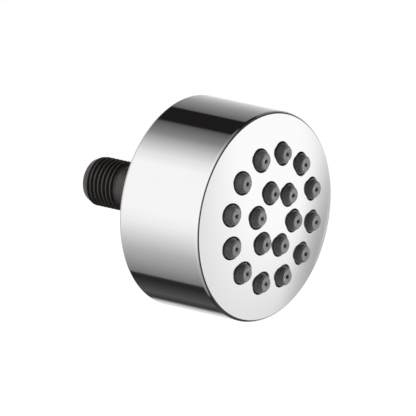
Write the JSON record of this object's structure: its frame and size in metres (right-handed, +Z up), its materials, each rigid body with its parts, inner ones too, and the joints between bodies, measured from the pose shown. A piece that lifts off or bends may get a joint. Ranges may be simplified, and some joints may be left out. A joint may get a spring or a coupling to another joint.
{
  "type": "shower body jet",
  "caption": "Round chrome body jet with a domed spray face, rings of soft rubber nozzles and a black threaded inlet stub at the back, for fixing flush on a shower wall.",
  "frame": {"origin": "on the axis of the inlet stub, in the plane where its thread begins", "axes": "+Y along the stub, out of the back of the jet; the spray leaves along -Y; +Z is up on the wall"},
  "size_m": [0.056, 0.0625, 0.056],
  "materials": {
    "cap_chrome": "mirror polished chrome plating",
    "nozzle_silicone": "soft matte silicone",
    "plate_plastic": "moulded natural plastic",
    "seal_rubber": "smooth seal rubber",
    "housing_plastic": "satin black moulded plastic",
    "screw_steel": "bright stainless steel",
    "gasket_rubber": "matte closed-cell rubber",
    "washer_rubber": "smooth rubber",
    "screen_steel": "perforated stainless sheet",
    "ring_plastic": "moulded plastic"
  },
  "bodies": {
    "root": {"spray_cap": "cap_chrome", "nozzle_mat": "nozzle_silicone", "jet_plate": "plate_plastic", "chamber_oring": "seal_rubber", "rear_housing": "housing_plastic", "housing_screws": "screw_steel", "wall_gasket": "gasket_rubber", "flow_washer": "washer_rubber", "inlet_screen": "screen_steel", "screen_ring": "ring_plastic"}
  },
  "joints": []
}
